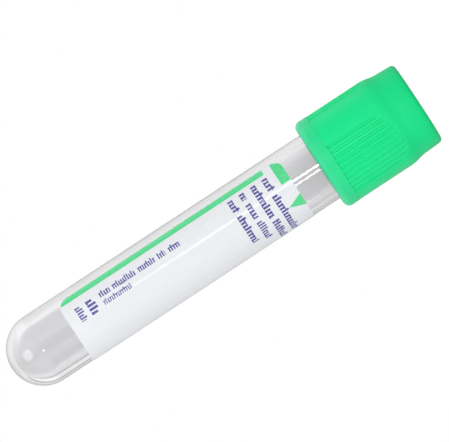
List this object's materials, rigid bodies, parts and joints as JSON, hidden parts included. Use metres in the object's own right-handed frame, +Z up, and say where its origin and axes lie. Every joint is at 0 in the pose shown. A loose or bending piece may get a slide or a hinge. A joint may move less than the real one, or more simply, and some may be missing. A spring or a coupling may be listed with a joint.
{
  "type": "blood collection tube",
  "caption": "Clear round-bottomed plastic sample tube with a wrap-round paper label and a rubber stopper held in a ribbed green pull-off shield.",
  "frame": {"origin": "on the surface that the closure stands on, on the tube's axis", "axes": "+Z up along the tube's axis, from the closure to the round bottom; -Y the front, and the label's open strip faces -Y and +X"},
  "size_m": [0.0168, 0.0168, 0.0823],
  "materials": {
    "clear_plastic": "gloss",
    "label_paper": "matte",
    "stopper_rubber": "matte",
    "shield_plastic": "satin"
  },
  "bodies": {
    "shield_body": {"shield": "shield_plastic"},
    "stopper_body": {"stopper": "stopper_rubber"},
    "tube_body": {"tube": "clear_plastic", "label": "label_paper"}
  },
  "joints": [
    {"name": "closure_twist", "type": "hinge", "parent": "shield_body", "child": "stopper_body", "pos_m": [0, 0, 0.00505], "axis": [0, 0, 1], "continuous": true},
    {"name": "closure_pull", "type": "slide", "parent": "stopper_body", "child": "tube_body", "axis": [0, 0, 1], "range_m": [0, 0.03]}
  ]
}
